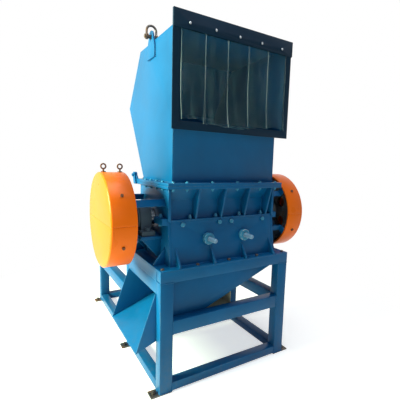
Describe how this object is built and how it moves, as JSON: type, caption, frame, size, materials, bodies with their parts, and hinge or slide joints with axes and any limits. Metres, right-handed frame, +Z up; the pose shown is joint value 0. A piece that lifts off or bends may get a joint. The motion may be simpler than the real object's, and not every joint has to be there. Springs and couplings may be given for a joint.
{
  "type": "plastic crusher",
  "caption": "Floor-standing plastic crusher with a strip-curtain feed hopper, knife chamber, guarded flywheel and belt drive, and a side discharge chute on a tube frame.",
  "frame": {"origin": "middle of the object's box on the floor", "axes": "+Z up, -Y out of the front, where the feed mouth is, and +X to the right seen from the front"},
  "size_m": [1.596, 1.806, 2.53],
  "materials": {
    "blue_paint": "satin",
    "orange_paint": "satin",
    "dark_frame_paint": "satin",
    "slate_casting": "painted",
    "motor_paint": "satin",
    "beige_sheet": "matte",
    "dark_steel": "worn",
    "bright_steel": "machined",
    "grey_iron": "machined",
    "rusty_steel": "weathered",
    "belt_rubber": "matte",
    "clear_pvc": "clear"
  },
  "bodies": {
    "machine": {"foot_plates": "dark_steel", "frame_legs": "blue_paint", "top_rails": "blue_paint", "middle_rails": "blue_paint", "bottom_rails": "blue_paint", "motor_beams": "blue_paint", "chute_hanger": "blue_paint", "chute_sides": "blue_paint", "chute_floor": "blue_paint", "chute_shelf": "beige_sheet", "foot_flange": "blue_paint", "lower_walls": "blue_paint", "lower_side_walls": "blue_paint", "foot_gussets": "blue_paint", "bed_knife_seats": "blue_paint", "bed_knives": "bright_steel", "screen": "dark_steel", "screen_cradle": "dark_steel", "jack_collars": "blue_paint", "wall_bolts": "bright_steel", "split_flanges": "blue_paint", "split_bolts": "bright_steel", "upper_walls": "blue_paint", "upper_side_walls": "blue_paint", "upper_ribs": "blue_paint", "chamber_flange": "blue_paint", "bearing_brackets": "blue_paint", "bearing_blocks": "slate_casting", "motor_rails": "dark_steel", "motor_body": "motor_paint", "drive_belts": "belt_rubber", "left_guard_upper": "orange_paint", "left_guard_lower": "orange_paint", "right_guard_upper": "orange_paint", "right_guard_lower": "orange_paint", "guard_arms": "blue_paint", "guard_fittings": "rusty_steel", "hinge_ears": "blue_paint"},
    "hopper": {"hopper_flange": "blue_paint", "hopper_sides": "blue_paint", "hopper_front_wall": "blue_paint", "hopper_back_wall": "blue_paint", "hopper_roof": "blue_paint", "mouth_frame": "dark_frame_paint"},
    "strip_1": {"curtain_strip_1": "clear_pvc"},
    "strip_2": {"curtain_strip_2": "clear_pvc"},
    "strip_3": {"curtain_strip_3": "clear_pvc"},
    "strip_4": {"curtain_strip_4": "clear_pvc"},
    "strip_5": {"curtain_strip_5": "clear_pvc"},
    "rotor": {"rotor_shaft": "bright_steel", "rotor_segments": "dark_steel", "rotor_knives": "bright_steel", "flywheel": "grey_iron", "big_pulley": "grey_iron"},
    "motor_rotor": {"motor_shaft": "bright_steel", "motor_pulley": "grey_iron"},
    "jack_left": {"jack_screw_left": "bright_steel"},
    "jack_right": {"jack_screw_right": "bright_steel"},
    "shackle_l": {"shackle_left": "dark_steel"},
    "shackle_r": {"shackle_right": "dark_steel"}
  },
  "joints": [
    {"name": "rotor_spin", "type": "hinge", "parent": "machine", "child": "rotor", "pos_m": [0, -0.502, 1.162], "axis": [1, 0, 0], "continuous": true},
    {"name": "motor_spin", "type": "hinge", "parent": "machine", "child": "motor_rotor", "pos_m": [0, 0.448, 1.135], "axis": [1, 0, 0], "continuous": true},
    {"name": "hopper_tilt", "type": "hinge", "parent": "machine", "child": "hopper", "pos_m": [0, -0.167, 1.455], "axis": [-1, 0, 0], "range_deg": [0, 60]},
    {"name": "jack_left_slide", "type": "slide", "parent": "machine", "child": "jack_left", "axis": [0, -1, 0], "range_m": [0, 0.03]},
    {"name": "jack_right_slide", "type": "slide", "parent": "machine", "child": "jack_right", "axis": [0, -1, 0], "range_m": [0, 0.03]},
    {"name": "shackle_left_swing", "type": "hinge", "parent": "hopper", "child": "shackle_l", "pos_m": [-0.393, -0.406, 2.446], "axis": [1, 0, 0], "range_deg": [-80, 80]},
    {"name": "shackle_right_swing", "type": "hinge", "parent": "hopper", "child": "shackle_r", "pos_m": [0.493, -0.406, 2.446], "axis": [1, 0, 0], "range_deg": [-80, 80]},
    {"name": "strip_1_swing", "type": "hinge", "parent": "hopper", "child": "strip_1", "pos_m": [-0.2932, -0.8665, 2.3592], "axis": [1, 0, 0], "range_deg": [-60, 75]},
    {"name": "strip_2_swing", "type": "hinge", "parent": "hopper", "child": "strip_2", "pos_m": [-0.1216, -0.8665, 2.3592], "axis": [1, 0, 0], "range_deg": [-60, 75]},
    {"name": "strip_3_swing", "type": "hinge", "parent": "hopper", "child": "strip_3", "pos_m": [0.05, -0.8665, 2.3592], "axis": [1, 0, 0], "range_deg": [-60, 75]},
    {"name": "strip_4_swing", "type": "hinge", "parent": "hopper", "child": "strip_4", "pos_m": [0.2216, -0.8665, 2.3592], "axis": [1, 0, 0], "range_deg": [-60, 75]},
    {"name": "strip_5_swing", "type": "hinge", "parent": "hopper", "child": "strip_5", "pos_m": [0.3932, -0.8665, 2.3592], "axis": [1, 0, 0], "range_deg": [-60, 75]}
  ],
  "couplings": [
    {"joint": "motor_spin", "follows": "rotor_spin", "ratio": 2.7143}
  ]
}
